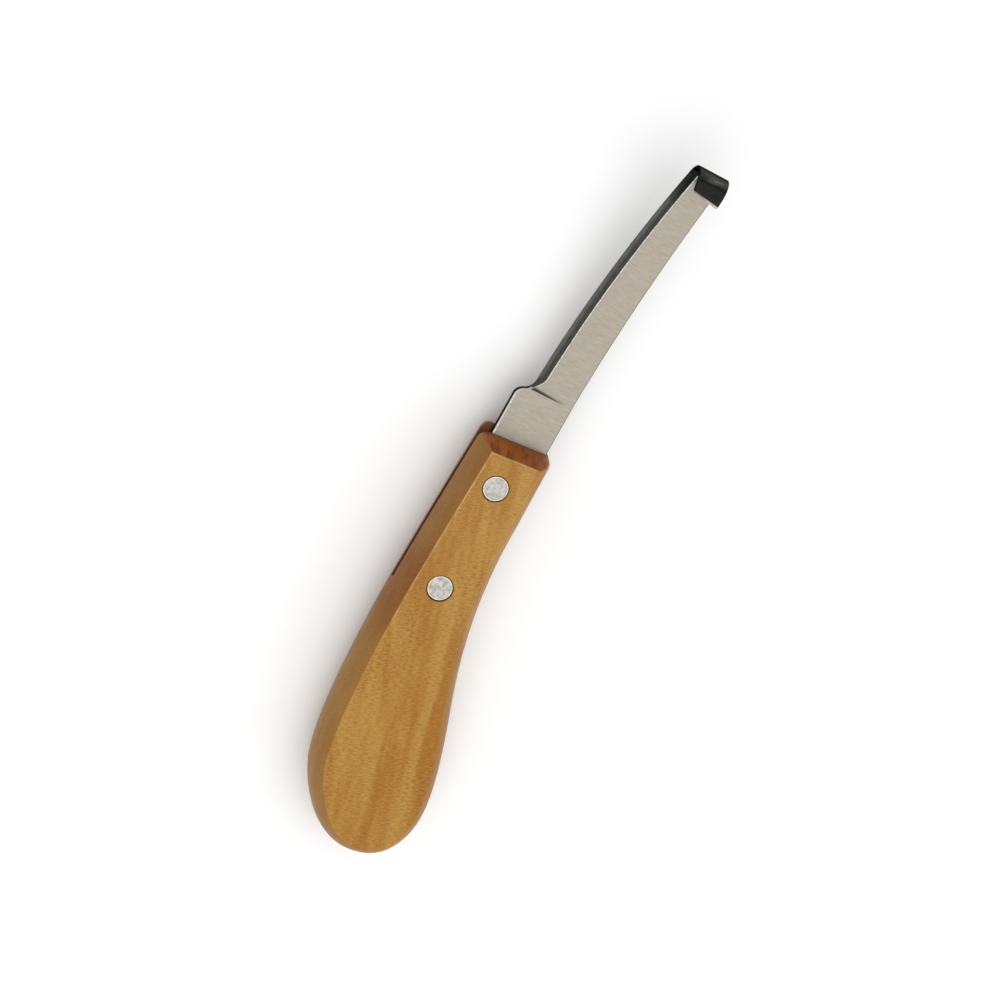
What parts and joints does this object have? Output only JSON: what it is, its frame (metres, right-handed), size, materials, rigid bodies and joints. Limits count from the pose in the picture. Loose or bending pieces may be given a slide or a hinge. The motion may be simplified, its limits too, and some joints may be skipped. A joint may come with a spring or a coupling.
{
  "type": "hoof knife",
  "caption": "Left-hand hoof knife: slotted wooden handle, riveted steel blade bowed along its length, and a hooked tip.",
  "frame": {"origin": "on the handle's far flat face, midway between the two rivets, on the line of the rivets", "axes": "+X along the line of the rivets towards the hook, +Y towards the side of the cutting edge, +Z out of the near flat face, the way the hook rolls up"},
  "size_m": [0.225, 0.0429, 0.0272],
  "materials": {
    "handle_wood": "honey-brown lacquered beech, satin",
    "blade_steel": "ground steel with polished bevel and hook",
    "rivet_metal": "satin turned heads"
  },
  "bodies": {
    "root": {"handle": "handle_wood", "blade": "blade_steel", "front_rivet_stud": "rivet_metal", "front_rivet_socket": "rivet_metal", "rear_rivet_stud": "rivet_metal", "rear_rivet_socket": "rivet_metal"}
  },
  "joints": []
}
